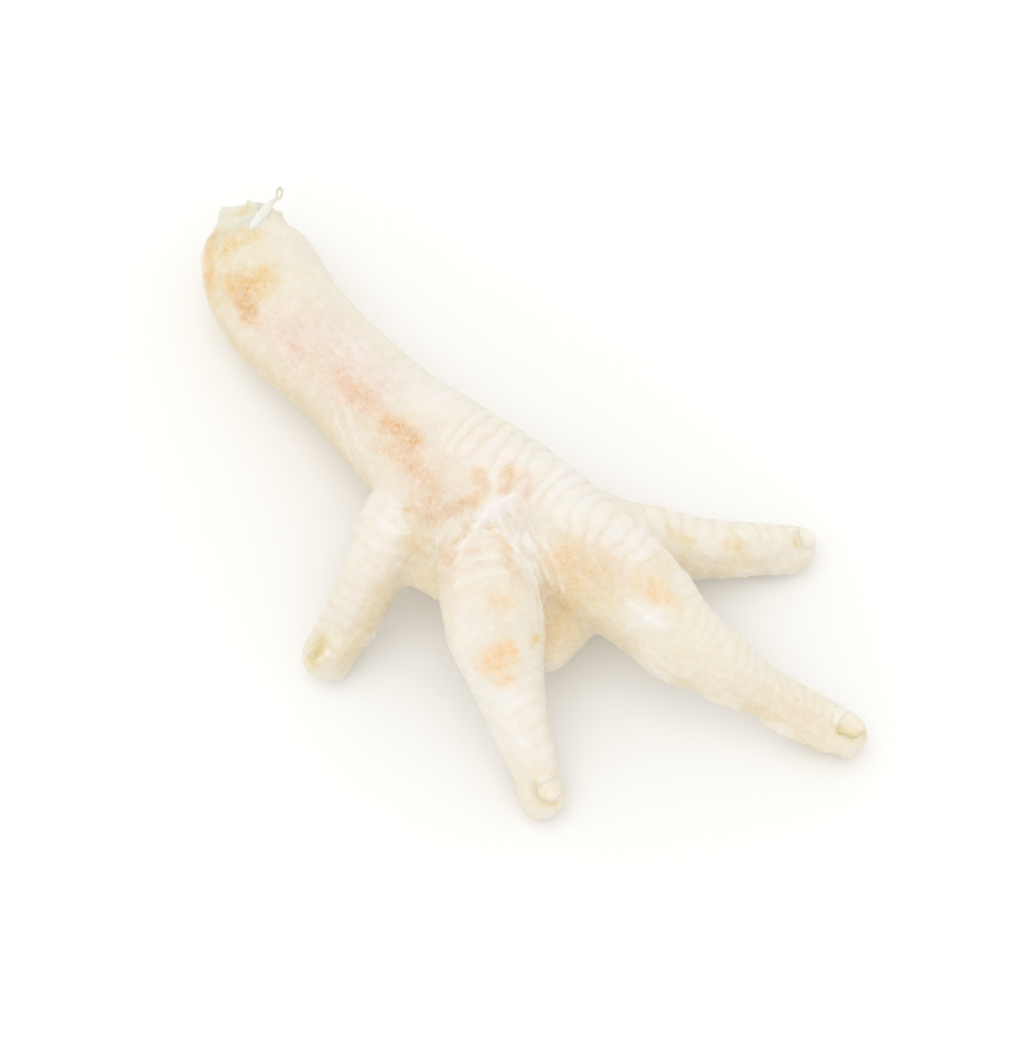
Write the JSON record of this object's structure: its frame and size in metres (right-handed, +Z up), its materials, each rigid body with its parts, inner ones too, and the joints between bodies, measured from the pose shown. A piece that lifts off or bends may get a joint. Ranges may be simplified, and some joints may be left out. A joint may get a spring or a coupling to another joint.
{
  "type": "chicken foot",
  "caption": "Raw peeled chicken foot cut off at the hock, lying on its outer side with its toes spread and the claws taken off.",
  "frame": {"origin": "on the surface that it rests on, below the middle of its bounding box", "axes": "+X from the hock towards the middle toe, +Y towards the outer toe, +Z up"},
  "size_m": [0.1407, 0.0727, 0.0275],
  "materials": {
    "skin": "moist satin, finely grained, with tan and orange stains",
    "cartilage": "wet, pale grey-green, slightly translucent",
    "tendon": "wet white fibres",
    "claw stump": "soft satin, pale yellow core of a pulled claw"
  },
  "bodies": {
    "root": {"foot": "skin", "joint_cartilage": "cartilage", "tendon": "tendon", "claw_stump_middle": "claw stump", "claw_stump_inner": "claw stump", "claw_stump_outer": "claw stump", "claw_stump_hind": "claw stump"}
  },
  "joints": []
}
